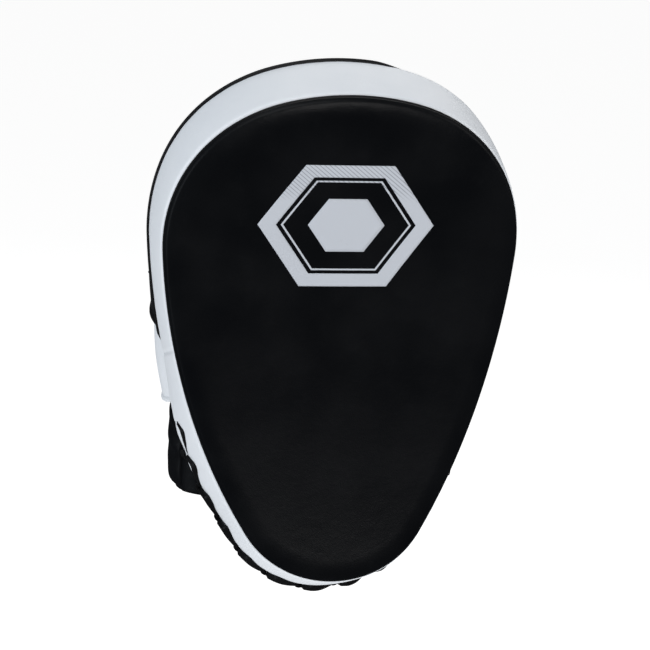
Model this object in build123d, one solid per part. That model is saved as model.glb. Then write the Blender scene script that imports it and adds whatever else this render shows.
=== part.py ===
from build123d import *
import math
import os

# Curved focus mitt for the left hand: a foam-filled strike pad, laced round its tip, with a finger
# hood, a thumb pocket, a padded wrist cuff and a hook-and-loop strap on its back.
#
# Frame, in millimetres: +Z towards the fingertips, the strike face looks along -Y, the hand goes in
# on the +Y side, and the thumb is on the -X side. The origin is the middle of the back panel.
#
# The pad is bent about a line that runs along X in front of the strike face. A layer of the pad lies
# between two radii about that line. A "flat" height is measured along a plane that touches the face
# seam, and the pad's rim runs straight from there towards the bending line.

# --- driving dimensions: pad ---------------------------------------------------------------------
FACE_RADIUS = 450.0        # bend radius at the seam of the strike face
PAD_DEPTH = 38.0           # from that seam to the back of the pad, along the radius
CROWN = 5.0                # how far the strike face stands proud of its seam

OUTLINE_TOP = 135.6        # flat heights of the outline's top and tip
OUTLINE_BOTTOM = -131.6
HALF_WIDTH = 93.4
TOP_ARC = 123.0
SHOULDER_ARC = 82.0
SIDE_ARC = 350.0
TIP_ARC = 54.0

LEATHER = 1.6
SKIN_GAP = 0.2             # between leather and foam
EDGE_ROUND = 4.6           # rounding of the strike face towards its seam
PIPING = 3.0               # cord sewn into a seam
PIPING_PROUD = 1.2         # how far that cord stands out of the rim
SEAM_END = -46.0           # flat height where the piped rear seam stops and the lacing starts
SOFT_FOAM = 10.0
CORE_FOAM = 17.0

LACE_PITCH = 18.4
LACE_WIDTH = 4.0
LACE_THICK = 1.4
LACE_LENGTH = 15.0
LACE_INSET = 4.6           # rear edge to the middle of a stitch on the rim
LACE_BACK_INSET = 3.2      # and on the back panel
LACE_SLANT = 14.0          # degrees between a stitch and the edge
LACE_CLEAR = 0.3

EMBLEM_HEIGHT = 64.0       # flat height of the emblem's middle
EMBLEM_RADIUS = 46.0
EMBLEM_RING = 9.0
EMBLEM_CORE = 17.0
EMBLEM_SQUASH = 0.84       # height over width
PRINT_THICK = 0.35

# --- driving dimensions: hand side ---------------------------------------------------------------
# Elliptical sections: height, centre X, centre Y, half width, half depth.
HOOD_SECTIONS = [
    (-47.0, 0.0, 22.0, 79.5, 39.5),
    (-25.0, 0.0, 20.5, 86.5, 42.0),
    (5.0, 0.0, 18.0, 93.0, 44.0),
    (43.0, 0.0, 13.0, 95.0, 45.0),
    (80.0, 0.0, 0.0, 87.0, 46.0),
    (110.0, 0.0, -9.0, 69.0, 35.0),
    (131.0, 0.0, -17.0, 42.0, 15.0),
]
THUMB_SECTIONS = [
    (-52.0, -53.0, 20.0, 28.0, 26.0),
    (-25.0, -59.5, 21.0, 27.0, 28.0),
    (-5.0, -63.4, 21.0, 24.8, 27.0),
    (8.0, -67.0, 19.0, 21.2, 22.0),
    (16.0, -70.0, 16.0, 13.5, 13.5),
]
LINING = 1.0
HOOD_PADDING = 8.0
HOOD_EDGE = 0.0            # height of the hood's lower edge in the middle
HOOD_SLANT = 14.2          # degrees; the edge is higher on the thumb side
THUMB_PADDING = 5.0
THUMB_MOUTH = -20.0        # height of the thumb pocket's mouth under the middle of the pocket
THUMB_MOUTH_X = -59.0
THUMB_SLANT = -38.0
BINDING = 3.0              # folded tape over a raw edge, along the layers
BINDING_PROUD = 0.8
LAYER_GAP = 0.2            # between two layers of the hood, the pocket or the cuff
LINING_GAP = 1.2           # between padding and lining
BACK_CLEAR = 0.3           # between those layers and the back panel
MESH_TOP = 44.0
MESH_BOTTOM = -9.0
MESH_DEPTH = 27.0          # how far the side mesh reaches back
MESH_THICK = 1.4
MESH_REACH = 60.0          # nearest the middle that a mesh panel could come

BALL_RADIUS = 28.0         # grip ball, in the palm
BALL_HEIGHT = 17.0
BALL_PLACE = (5.0, 0.0, -8.0)
BALL_FLANGE = 5.0

CUFF_TOP = -48.2
CUFF_BOTTOM = -95.5
CUFF_CENTRE = 22.0
CUFF_HALF_WIDTH = 78.5
CUFF_HALF_DEPTH = 38.0
CUFF_PADDING = 8.0
CUFF_ROOT = 9.0            # Y where the padded wings start; a thin gore joins them to the pad
CUFF_SLIT = 16.0           # between the two wings at the back of the wrist
GORE = 1.4

STRAP_TOP = -53.0
STRAP_BOTTOM = -92.5
STRAP_THICK = 2.6
STRAP_CORNER = 12.0
STRAP_ROOT = 14.0          # Y where the strap's sewn root starts
STRAP_FOLD = 24.0          # X of the fold where the strap's free end starts
STRAP_TIP = -58.0
FOLD_GAP = 0.4
PATCH = 1.2                # hook tape and loop tape
PATCH_MARGIN = 4.5
PATCH_LAND = 14.0          # |X| where both tapes start, beside the slit
LOOP_END = -70.0
TAB_LENGTH = 16.0
TAB_THICK = 1.2

BACK_RADIUS = FACE_RADIUS + PAD_DEPTH
FAR = 400.0                # longer than anything here, for cutting tools

os.makedirs("parts", exist_ok=True)


def save(name, shape):
    shape.label = name
    export_step(shape, f"parts/{name}.step")


# --- the pad's outline and layers ----------------------------------------------------------------
def arc_centres():
    """Centres of the top arc, the right shoulder's, the right side's and the tip's, drawn flat."""
    top = (0.0, OUTLINE_TOP - TOP_ARC)
    tip = (0.0, OUTLINE_BOTTOM + TIP_ARC)
    shoulder_x = HALF_WIDTH - SHOULDER_ARC
    shoulder = (shoulder_x, top[1] + math.sqrt((TOP_ARC - SHOULDER_ARC) ** 2 - shoulder_x**2))
    # The side arc holds the shoulder arc and the tip arc inside it and touches both.
    to_shoulder = SIDE_ARC - SHOULDER_ARC
    to_tip = SIDE_ARC - TIP_ARC
    dx = tip[0] - shoulder[0]
    dz = tip[1] - shoulder[1]
    span = math.hypot(dx, dz)
    along = (to_shoulder**2 - to_tip**2 + span**2) / (2 * span)
    across = math.sqrt(to_shoulder**2 - along**2)
    side = (shoulder[0] + (along * dx + across * dz) / span, shoulder[1] + (along * dz - across * dx) / span)
    return top, shoulder, side, tip


def on_circle(centre, radius, towards):
    """The point of a circle that lies towards a point."""
    dx = towards[0] - centre[0]
    dz = towards[1] - centre[1]
    length = math.hypot(dx, dz)
    return (centre[0] + dx / length * radius, centre[1] + dz / length * radius)


def beyond(a, b):
    """A point on the line from a through b, on the far side of b."""
    return (2 * b[0] - a[0], 2 * b[1] - a[1])


def arc(start, end, centre, radius):
    middle = ((start[0] + end[0]) / 2, (start[1] + end[1]) / 2)
    return ThreePointArc(start, on_circle(centre, radius, middle), end)


def mirrored(p):
    return (-p[0], p[1])


def outline_face(inset):
    """The outline drawn flat in the XZ plane, moved inwards by inset."""
    top, shoulder, side, tip = arc_centres()
    top_end = on_circle(shoulder, SHOULDER_ARC - inset, beyond(top, shoulder))
    side_start = on_circle(shoulder, SHOULDER_ARC - inset, beyond(side, shoulder))
    side_end = on_circle(tip, TIP_ARC - inset, beyond(side, tip))
    left_side = mirrored(side)
    left_shoulder = mirrored(shoulder)
    arcs = [
        ThreePointArc(mirrored(top_end), (0.0, OUTLINE_TOP - inset), top_end),
        arc(top_end, side_start, shoulder, SHOULDER_ARC - inset),
        arc(side_start, side_end, side, SIDE_ARC - inset),
        ThreePointArc(side_end, (0.0, OUTLINE_BOTTOM + inset), mirrored(side_end)),
        arc(mirrored(side_end), mirrored(side_start), left_side, SIDE_ARC - inset),
        arc(mirrored(side_start), mirrored(top_end), left_shoulder, SHOULDER_ARC - inset),
    ]
    return Plane.XZ * make_face(arcs)


def bend_cylinder(radius):
    """Everything within a radius of the bending line."""
    return Pos(0, -BACK_RADIUS, 0) * Rot(0, 90, 0) * Cylinder(radius, FAR)


def rim_cone(flat_face):
    """A flat shape at the face seam, drawn out along lines that meet at the bending line."""
    ends = []
    for depth in (-PAD_DEPTH - 60.0, 40.0):
        stretch = (BACK_RADIUS + depth) / FACE_RADIUS
        ends.append(Pos(0, depth, 0) * scale(flat_face, by=(1, 1, stretch)))
    return loft(ends, ruled=True)


def pad_block(inset, inner_radius, outer_radius):
    """A layer of the pad between two radii, its rim moved inwards by inset."""
    return (rim_cone(outline_face(inset)) & bend_cylinder(outer_radius)) - bend_cylinder(inner_radius)


def rim_ring(outer_inset, inner_inset, inner_radius, outer_radius):
    """A band round the rim of the pad."""
    hole = pad_block(inner_inset, inner_radius - 1, outer_radius + 1)
    return pad_block(outer_inset, inner_radius, outer_radius) - hole


def above_flat(flat_height):
    """A block that holds everything above a flat height, cut square to the bend."""
    angle = math.degrees(math.atan(flat_height / FACE_RADIUS))
    return Pos(0, -BACK_RADIUS, 0) * Rot(angle, 0, 0) * Pos(0, 0, FAR / 2) * Box(FAR, 3 * FAR, FAR)


def bend_depth(edge):
    """Distance of an edge's middle from the bending line."""
    p = edge.position_at(0.5)
    return math.hypot(p.Y + BACK_RADIUS, p.Z)


def round_front(solid, inner_radius, rounding):
    """Rounds the long edges of a pad layer on its strike side."""
    edges = [e for e in solid.edges() if abs(bend_depth(e) - inner_radius) < 0.5]
    return fillet(edges, rounding)


# --- strike pad ----------------------------------------------------------------------------------
FACE_OUT = FACE_RADIUS - CROWN
SEAM_OUT = FACE_RADIUS
SEAM_IN = FACE_RADIUS + PIPING
REAR_SEAM = BACK_RADIUS - PIPING
FOAM_INSET = LEATHER + SKIN_GAP
SOFT_OUT = FACE_OUT + LEATHER + SKIN_GAP
CORE_OUT = SOFT_OUT + SOFT_FOAM
BASE_OUT = CORE_OUT + CORE_FOAM
PANEL_OUT = BACK_RADIUS - LEATHER


def strike_face_cover():
    """Leather tray over the front of the foam, its sides turned down to the seam."""
    outer = round_front(pad_block(0.0, FACE_OUT, SEAM_OUT), FACE_OUT, EDGE_ROUND)
    inside_radius = FACE_OUT + LEATHER
    inner = round_front(pad_block(LEATHER, inside_radius, SEAM_OUT + 2), inside_radius, EDGE_ROUND - LEATHER)
    return outer - inner


def soft_face_foam():
    block = pad_block(FOAM_INSET + PIPING - PIPING_PROUD, SOFT_OUT, CORE_OUT)
    return round_front(block, SOFT_OUT, EDGE_ROUND - FOAM_INSET)


def gusset():
    """White side wall between the two seams; round the tip it runs on to the back panel."""
    wall = rim_ring(0.0, LEATHER, SEAM_IN, REAR_SEAM)
    turned_edge = rim_ring(0.0, PIPING - PIPING_PROUD, REAR_SEAM, BACK_RADIUS) - above_flat(SEAM_END)
    return wall + turned_edge


def rear_piping():
    ring = rim_ring(-PIPING_PROUD, PIPING - PIPING_PROUD, REAR_SEAM, BACK_RADIUS)
    return ring & above_flat(SEAM_END + SKIN_GAP)


def hexagon(radius):
    corners = []
    for corner in range(6):
        angle = math.radians(60 * corner)
        corners.append((radius * math.cos(angle), EMBLEM_SQUASH * radius * math.sin(angle)))
    return Plane.XZ * Pos(0, EMBLEM_HEIGHT) * make_face(Polyline(*corners, close=True))


def face_emblem():
    """Printed six-sided target on the leather: a ring and a core."""
    film = bend_cylinder(FACE_OUT) - bend_cylinder(FACE_OUT - PRINT_THICK)
    ring = rim_cone(hexagon(EMBLEM_RADIUS)) - rim_cone(hexagon(EMBLEM_RADIUS - EMBLEM_RING))
    core = rim_cone(hexagon(EMBLEM_CORE))
    return Compound(children=[*(ring & film).solids(), *(core & film).solids()])


def laced_edge():
    """The stretch of the flat outline that is laced: down one side, round the tip and up the other."""
    top, shoulder, side, tip = arc_centres()
    start = (side[0] + math.sqrt(SIDE_ARC**2 - (SEAM_END - side[1]) ** 2), SEAM_END)
    side_end = on_circle(tip, TIP_ARC, beyond(side, tip))
    right = arc(start, side_end, side, SIDE_ARC)
    round_tip = ThreePointArc(side_end, (0.0, OUTLINE_BOTTOM), mirrored(side_end))
    left = arc(mirrored(side_end), mirrored(start), mirrored(side), SIDE_ARC)
    return Wire([right, round_tip, left])


def edge_lacing():
    """One flat thong per stitch on the rim, and one on the back panel beside it."""
    edge = laced_edge()
    count = int(edge.length // LACE_PITCH)
    stitches = []
    for number in range(count):
        place = (number + 0.5) / count
        flat = edge.position_at(place)
        run = edge.tangent_at(place)
        angle = math.atan(flat.Y / FACE_RADIUS)
        radial = Vector(0, math.cos(angle), math.sin(angle))
        around = Vector(0, -math.sin(angle), math.cos(angle))
        stretch = BACK_RADIUS * math.cos(angle) ** 2 / FACE_RADIUS
        along = (Vector(run.X, 0, 0) + around * (run.Y * stretch)).normalized()
        outward = along.cross(radial)
        corner = Vector(flat.X, -BACK_RADIUS, 0) + radial * BACK_RADIUS
        lift = LACE_CLEAR + LACE_THICK / 2
        on_rim = corner - radial * LACE_INSET + outward * lift
        on_back = corner - outward * LACE_BACK_INSET + radial * lift
        thong = Box(LACE_LENGTH, LACE_WIDTH, LACE_THICK)
        stitches.append(Plane(origin=on_rim, x_dir=along, z_dir=outward) * Rot(0, 0, LACE_SLANT) * thong)
        stitches.append(Plane(origin=on_back, x_dir=along, z_dir=radial) * thong)
    return Compound(children=stitches)


save("strike_face_cover", strike_face_cover())
save("face_emblem", face_emblem())
save("front_piping", rim_ring(-PIPING_PROUD, PIPING - PIPING_PROUD, SEAM_OUT, SEAM_IN))
save("side_gusset", gusset())
save("rear_piping", rear_piping())
save("back_panel", pad_block(PIPING - PIPING_PROUD, PANEL_OUT, BACK_RADIUS))
save("soft_face_foam", soft_face_foam())
save("shock_core_foam", pad_block(FOAM_INSET + SKIN_GAP, CORE_OUT, BASE_OUT))
save("firm_base_foam", pad_block(FOAM_INSET + SKIN_GAP, BASE_OUT, PANEL_OUT - SKIN_GAP))
save("edge_lacing", edge_lacing())


# --- layered pieces on the hand side -------------------------------------------------------------
def block(low, high):
    """A box from its low corner to its high corner."""
    size = [h - l for l, h in zip(low, high)]
    return Pos(*[(l + h) / 2 for l, h in zip(low, high)]) * Box(*size)


def lofted(sections, inset):
    """A closed form through elliptical sections, moved inwards by inset; its mouth is left open."""
    rings = []
    for number, (height, x, y, half_width, half_depth) in enumerate(sections):
        if number == 0:
            height -= 5 * (inset != 0)
        if number == len(sections) - 1:
            height -= inset
        plane = Plane(origin=(x, y, height), z_dir=(0, 0, 1))
        rings.append(plane * Ellipse(half_width - inset, half_depth - inset).face())
    return loft(rings)


def layer(sections, outer, inner):
    """The wall between two insets, cut off at the back panel."""
    wall = lofted(sections, outer) - lofted(sections, inner)
    return wall - bend_cylinder(BACK_RADIUS + BACK_CLEAR)


def above_slant(x, height, slant, lift=0.0, thick=FAR):
    """A slab above a tilted plane that goes through (x, height), lifted square to that plane."""
    slab = Pos(0, 0, lift + thick / 2) * Box(3 * FAR, 2 * FAR, thick)
    return Pos(x, 0, height) * Rot(0, slant, 0) * slab


def mesh_window(side):
    """The block that holds one side's mesh; side is -1 for the thumb side."""
    reach = sorted((side * MESH_REACH, side * FAR))
    return block((reach[0], -FAR, MESH_BOTTOM), (reach[1], MESH_DEPTH, MESH_TOP))


def hood_part(outer, inner):
    piece = layer(HOOD_SECTIONS, outer, inner) & above_slant(0, HOOD_EDGE, HOOD_SLANT, BINDING)
    for side in (-1, 1):
        piece -= mesh_window(side)
    return piece


def hood_binding(outer, inner):
    strip = above_slant(0, HOOD_EDGE, HOOD_SLANT, 0.0, BINDING - LAYER_GAP)
    piece = layer(HOOD_SECTIONS, outer, inner) & strip
    for side in (-1, 1):
        piece -= mesh_window(side)
    return piece


def side_mesh(side):
    """Air mesh in the side of the hood, from the back panel to the padded shell."""
    return layer(HOOD_SECTIONS, 0.0, MESH_THICK) & mesh_window(side)


def thumb_part(outer, inner):
    mouth = above_slant(THUMB_MOUTH_X, THUMB_MOUTH, THUMB_SLANT, BINDING)
    return layer(THUMB_SECTIONS, outer, inner) & mouth & above_slant(0, CUFF_TOP, 0, BINDING)


def thumb_binding(outer, inner):
    strip = above_slant(THUMB_MOUTH_X, THUMB_MOUTH, THUMB_SLANT, 0.0, BINDING - LAYER_GAP)
    return layer(THUMB_SECTIONS, outer, inner) & strip & above_slant(0, CUFF_TOP, 0, BINDING)


def padded_insets(padding):
    """Insets of a shell, its padding and its lining."""
    shell = (0.0, LEATHER)
    pad = (LEATHER + LAYER_GAP, LEATHER + LAYER_GAP + padding)
    lining = (pad[1] + LINING_GAP, pad[1] + LINING_GAP + LINING)
    return shell, pad, lining


hood_shell, hood_pad, hood_lining = padded_insets(HOOD_PADDING)
save("finger_hood_shell", hood_part(*hood_shell))
save("finger_hood_padding", hood_part(*hood_pad))
save("finger_hood_lining", hood_part(*hood_lining))
save("finger_hood_binding", hood_binding(-BINDING_PROUD, hood_lining[1]))
save("hood_mesh_thumb_side", side_mesh(-1))
save("hood_mesh_outer_side", side_mesh(1))

thumb_shell, thumb_pad, thumb_lining = padded_insets(THUMB_PADDING)
save("thumb_pocket_shell", thumb_part(*thumb_shell))
save("thumb_pocket_padding", thumb_part(*thumb_pad))
save("thumb_pocket_lining", thumb_part(*thumb_lining))
save("thumb_pocket_binding", thumb_binding(0.0, thumb_lining[1]))


# --- grip ball -----------------------------------------------------------------------------------
def ball_form(inset):
    """A ball that rises from the back panel by the grip's height, moved inwards by inset."""
    radius = (BALL_RADIUS**2 + BALL_HEIGHT**2) / (2 * BALL_HEIGHT)
    return Pos(*BALL_PLACE) * Pos(0, BALL_HEIGHT - radius, 0) * Sphere(radius - inset)


def ball_flange():
    """The cover's sewn rim, lying on the back panel."""
    disc = Pos(*BALL_PLACE) * Rot(90, 0, 0) * Cylinder(BALL_RADIUS + BALL_FLANGE, FAR / 4)
    sheet = disc & bend_cylinder(BACK_RADIUS + SKIN_GAP + LEATHER)
    return sheet - bend_cylinder(BACK_RADIUS + SKIN_GAP)


def palm_ball_cover():
    skin = ball_form(0.0) - bend_cylinder(BACK_RADIUS + SKIN_GAP)
    return (skin + ball_flange()) - ball_form(LEATHER)


save("palm_ball", ball_form(LEATHER + SKIN_GAP) - bend_cylinder(BACK_RADIUS + SKIN_GAP))
save("palm_ball_cover", palm_ball_cover())


# --- wrist cuff and strap ------------------------------------------------------------------------
def cuff_form(inset, bottom, top):
    """The cuff's elliptical outside, moved inwards by inset, between two heights."""
    ring = Ellipse(CUFF_HALF_WIDTH - inset, CUFF_HALF_DEPTH - inset)
    return Pos(0, CUFF_CENTRE, bottom) * extrude(ring, top - bottom)


def cuff_wall(outer, inner, bottom=CUFF_BOTTOM, top=CUFF_TOP):
    wall = cuff_form(outer, bottom, top) - cuff_form(inner, bottom - 1, top + 1)
    return wall - bend_cylinder(BACK_RADIUS + BACK_CLEAR)


def wing(side, outer, inner, **heights):
    """One padded half of the cuff, from its root to the slit; side is -1 for the thumb side."""
    near = CUFF_SLIT / 2
    reach = sorted((side * near, side * FAR))
    room = block((reach[0], CUFF_ROOT, -FAR), (reach[1], FAR, FAR))
    return cuff_wall(outer, inner, **heights) & room


def gore(side):
    """Thin leather from the back panel to the root of a wing."""
    reach = sorted((0.0, side * FAR))
    room = block((reach[0], -FAR, -FAR), (reach[1], CUFF_ROOT - FOLD_GAP, FAR))
    return cuff_wall(0.0, GORE) & room


def band(outer, inner, low_x, high_x, low_y, margin=0.0, corner=0.0):
    """A strip wrapped outside the cuff; corner rounds its ends."""
    plate = block((low_x, low_y, STRAP_BOTTOM + margin), (high_x, FAR, STRAP_TOP - margin))
    if corner:
        edges = plate.edges().filter_by(Axis.Y).sort_by(Axis.X)[:2]
        plate = fillet(edges, corner)
    return cuff_wall(outer, inner, bottom=-FAR / 2, top=0.0) & plate


cuff_shell, cuff_pad, cuff_lining = padded_insets(CUFF_PADDING)
BINDING_HEIGHTS = {"bottom": CUFF_BOTTOM - BINDING, "top": CUFF_BOTTOM - LAYER_GAP}
for side, name in ((-1, "cuff_thumb_wing"), (1, "cuff_flap")):
    save(f"{name}_shell", wing(side, *cuff_shell))
    save(f"{name}_padding", wing(side, *cuff_pad))
    save(f"{name}_lining", wing(side, *cuff_lining))
    save(f"{name}_binding", wing(side, 0.0, cuff_lining[1], **BINDING_HEIGHTS))
    save(f"{name}_gore", gore(side))

LOOP_OUT = -LAYER_GAP - PATCH
HOOK_IN = LOOP_OUT - LAYER_GAP
HOOK_OUT = HOOK_IN - PATCH
FREE_IN = HOOK_OUT - LAYER_GAP
FREE_OUT = FREE_IN - STRAP_THICK
TAB_IN = FREE_OUT - LAYER_GAP
ROOT_IN = -LAYER_GAP
save("loop_tape", band(LOOP_OUT, -LAYER_GAP, LOOP_END, -PATCH_LAND, CUFF_CENTRE, PATCH_MARGIN))
save("hook_tape", band(HOOK_OUT, HOOK_IN, STRAP_TIP + PATCH_MARGIN, -PATCH_LAND, CUFF_CENTRE, PATCH_MARGIN))
save("strap_root", band(ROOT_IN - STRAP_THICK, ROOT_IN, STRAP_FOLD + FOLD_GAP, FAR, STRAP_ROOT))
save("strap_end", band(FREE_OUT, FREE_IN, STRAP_TIP, STRAP_FOLD, CUFF_CENTRE, corner=STRAP_CORNER))
TAB_OUT = TAB_IN - TAB_THICK
TAB_ROOT = STRAP_TIP + TAB_LENGTH
save("strap_pull_tab", band(TAB_OUT, TAB_IN, STRAP_TIP, TAB_ROOT, CUFF_CENTRE, corner=STRAP_CORNER))
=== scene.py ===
import bmesh
import bpy
import math
from mathutils import Matrix, Vector, noise


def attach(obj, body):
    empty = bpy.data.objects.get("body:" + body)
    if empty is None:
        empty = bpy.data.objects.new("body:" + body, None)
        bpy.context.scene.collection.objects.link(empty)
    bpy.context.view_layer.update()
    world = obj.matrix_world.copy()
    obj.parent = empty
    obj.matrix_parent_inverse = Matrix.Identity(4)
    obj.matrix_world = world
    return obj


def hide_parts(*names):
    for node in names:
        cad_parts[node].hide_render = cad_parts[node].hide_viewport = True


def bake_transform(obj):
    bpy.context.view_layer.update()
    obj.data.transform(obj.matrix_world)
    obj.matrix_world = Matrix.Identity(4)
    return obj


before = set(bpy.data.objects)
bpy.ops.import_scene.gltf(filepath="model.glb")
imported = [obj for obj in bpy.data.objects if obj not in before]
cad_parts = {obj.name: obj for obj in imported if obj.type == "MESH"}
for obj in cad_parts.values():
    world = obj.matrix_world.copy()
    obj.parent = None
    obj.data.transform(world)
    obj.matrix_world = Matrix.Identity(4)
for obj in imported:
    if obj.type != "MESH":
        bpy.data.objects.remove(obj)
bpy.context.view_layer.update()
MM = 0.001


# --- camera, floor and light -----------------------------------------------------------------------
# The mitt stands upright over a pale floor under large soft lights, seen from the strike side, a
# little from its thumb side and from above.
VIEW_AZIMUTH = math.radians(-12)
VIEW_ELEVATION = math.radians(12.5)
VIEW_ROLL = math.radians(-2.5)
VIEW_DISTANCE = 1.2
AIM = Vector((0, -38 * MM, 0))
FRAME_PIXELS = 650
PIXEL_SIZE = 0.521 * MM
AIM_SHIFT = (-12 / FRAME_PIXELS, 15 / FRAME_PIXELS)
FLOOR_HEIGHT = -0.42


def view_axes(azimuth, elevation, roll):
    """The camera's right, up and backward directions."""
    back = Vector((math.sin(azimuth) * math.cos(elevation), -math.cos(azimuth) * math.cos(elevation),
                   math.sin(elevation)))
    right = Vector((0, 0, 1)).cross(back).normalized()
    up = back.cross(right)
    turn = Matrix.Rotation(roll, 3, back)
    return turn @ right, turn @ up, back


def place_looking(thing, position, axes):
    thing.matrix_world = Matrix.Translation(position) @ Matrix(axes).transposed().to_4x4()


camera = bpy.data.objects.new("camera", bpy.data.cameras.new("camera"))
bpy.context.collection.objects.link(camera)
bpy.context.scene.camera = camera
axes = view_axes(VIEW_AZIMUTH, VIEW_ELEVATION, -VIEW_ROLL)
place_looking(camera, AIM + axes[2] * VIEW_DISTANCE, axes)
camera.data.sensor_width = 36
camera.data.lens = 36 * (VIEW_DISTANCE / PIXEL_SIZE) / FRAME_PIXELS
camera.data.shift_x, camera.data.shift_y = AIM_SHIFT
camera.data.clip_start = 0.01


def soft_light(name, azimuth, elevation, distance, width, height, power, colour=(1, 1, 1)):
    """A rectangular softbox that looks at the mitt."""
    lamp = bpy.data.objects.new(name, bpy.data.lights.new(name, "AREA"))
    bpy.context.collection.objects.link(lamp)
    lamp.data.shape = "RECTANGLE"
    lamp.data.size = width
    lamp.data.size_y = height
    lamp.data.energy = power
    lamp.data.color = colour
    lamp_axes = view_axes(math.radians(azimuth), math.radians(elevation), 0)
    place_looking(lamp, lamp_axes[2] * distance, lamp_axes)
    return lamp


soft_light("key_light", -35, 62, 1.6, 1.2, 0.9, 11, (0.95, 0.98, 1.0))
soft_light("thumb_side_light", -78, 6, 1.4, 0.3, 1.3, 6, (0.86, 0.93, 1.0))
soft_light("front_light", 8, 21, 1.7, 0.7, 0.22, 9.5, (1.0, 0.98, 0.97))
soft_light("fill_light", 80, 30, 1.8, 1.0, 1.2, 5, (1.0, 0.99, 0.97))
soft_light("back_light", 165, 40, 1.7, 1.4, 1.2, 11, (1.0, 0.99, 0.98))

bpy.ops.mesh.primitive_plane_add(size=60, location=(0, 0, FLOOR_HEIGHT))
floor = bpy.context.object
floor.name = "floor"
floor.visible_glossy = False
bpy.context.scene.view_settings.view_transform = "Standard"
bpy.context.scene.view_settings.look = "None"

world = bpy.data.worlds.new("studio")
bpy.context.scene.world = world
world.use_nodes = True
world_nodes = world.node_tree.nodes
world_links = world.node_tree.links
lit = world_nodes["Background"]
lit.inputs["Color"].default_value = (0.93, 0.96, 1.0, 1)
lit.inputs["Strength"].default_value = 0.035
seen = world_nodes.new("ShaderNodeBackground")
seen.inputs["Strength"].default_value = 1.0
seen.inputs["Color"].default_value = (1, 1, 1, 1)
chooser = world_nodes.new("ShaderNodeMixShader")
ray = world_nodes.new("ShaderNodeLightPath")
world_links.new(ray.outputs["Is Camera Ray"], chooser.inputs["Fac"])
world_links.new(lit.outputs[0], chooser.inputs[1])
world_links.new(seen.outputs[0], chooser.inputs[2])
world_links.new(chooser.outputs[0], world_nodes["World Output"].inputs["Surface"])


# --- leather, and how finishes are written ---------------------------------------------------------
# All skins are fine-grained coated leather. Value lets a finish be written as arithmetic on node
# outputs, and Finish holds one material and adds its nodes.
class Value:
    """A node output that takes + - * / with numbers and other outputs."""

    def __init__(self, finish, socket):
        self.finish = finish
        self.socket = socket

    def math(self, operation, *others):
        return self.finish.node("Math", {"operation": operation}, [self, *others])

    def __add__(self, other):
        return self.math("ADD", other)

    def __sub__(self, other):
        return self.math("SUBTRACT", other)

    def __rsub__(self, other):
        return self.finish.node("Math", {"operation": "SUBTRACT"}, [other, self])

    def __mul__(self, other):
        return self.math("MULTIPLY", other)

    def __truediv__(self, other):
        return self.math("DIVIDE", other)

    def ramp(self, low, high, first=0.0, last=1.0):
        """Runs smoothly from first to last as the value goes from low to high."""
        settings = {"interpolation_type": "SMOOTHSTEP"}
        return self.finish.node("MapRange", settings, [self, low, high, first, last])

    __radd__ = __add__
    __rmul__ = __mul__


class Finish:
    """One material: a Principled shader and the nodes that feed it."""

    def __init__(self, name, colour, roughness, **constants):
        self.material = bpy.data.materials.new(name)
        self.material.use_nodes = True
        self.tree = self.material.node_tree
        self.shader = self.tree.nodes["Principled BSDF"]
        self.material.diffuse_color = (*colour, 1)
        self.set("Base Color", (*colour, 1))
        self.set("Roughness", roughness)
        for name, value in constants.items():
            self.set(name.replace("_", " "), value)

    def set(self, socket, value):
        target = self.shader.inputs[socket]
        if isinstance(value, Value):
            self.tree.links.new(value.socket, target)
        else:
            target.default_value = value

    def node(self, kind, settings, values, output=0):
        """Adds a node; values fill its sockets in order, or by name from a dict."""
        made = self.tree.nodes.new("ShaderNode" + kind)
        for key, value in settings.items():
            setattr(made, key, value)
        pairs = values.items() if isinstance(values, dict) else enumerate(values)
        for key, value in pairs:
            target = made.inputs[key]
            if isinstance(value, Value):
                self.tree.links.new(value.socket, target)
            elif value is not None:
                target.default_value = value
        return Value(self, made.outputs[output])

    def place(self):
        """Object coordinates, which are metres in the mitt's own frame."""
        return self.node("TexCoord", {}, {}, "Object")

    def noise(self, scale, detail=3.0, roughness=0.5):
        values = {"Vector": self.place(), "Scale": scale, "Detail": detail, "Roughness": roughness}
        return self.node("TexNoise", {}, values)

    def cells(self, scale, feature="F1", randomness=1.0):
        values = {"Vector": self.place(), "Scale": scale, "Randomness": randomness}
        return self.node("TexVoronoi", {"feature": feature}, values)

    def mix(self, factor, first, second):
        """A colour between two colours."""
        settings = {"data_type": "RGBA"}
        return self.node("Mix", settings, {0: factor, 6: first, 7: second}, 2)

    def mottle(self, factor, first, second):
        """Makes the base colour run between two colours."""
        self.set("Base Color", self.mix(factor, (*first, 1), (*second, 1)))

    def bump(self, height, distance, strength=1.0):
        values = {"Height": height, "Distance": distance, "Strength": strength}
        self.set("Normal", self.node("Bump", {}, values))


GRAIN_SCALE = 1700.0       # pebbles per metre
GRAIN_DEPTH = 0.05 * MM


def leather(name, colour, worn, roughness, coat=0.0, grain=1.0, shine=0.22):
    """Coated leather: pebbled grain, faint creases, and a slightly uneven shine."""
    finish = Finish(name, colour, roughness, Coat_Weight=coat, Coat_Roughness=0.35,
                    Specular_IOR_Level=shine)
    pebbles = finish.cells(GRAIN_SCALE, "SMOOTH_F1")
    pores = finish.noise(GRAIN_SCALE * 2.1, 2.0)
    creases = finish.noise(95.0, 6.0, 0.62)
    patches = finish.noise(22.0, 2.0)
    finish.mottle(patches.ramp(0.3, 0.75) * 0.6 + creases.ramp(0.5, 0.8) * 0.3, colour, worn)
    finish.set("Roughness", roughness - 0.05 + patches.ramp(0.25, 0.75, 0.0, 0.09) + pores * 0.05)
    finish.bump(pebbles * grain + pores * 0.5 * grain + creases * 5, GRAIN_DEPTH)
    return finish.material


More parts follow.
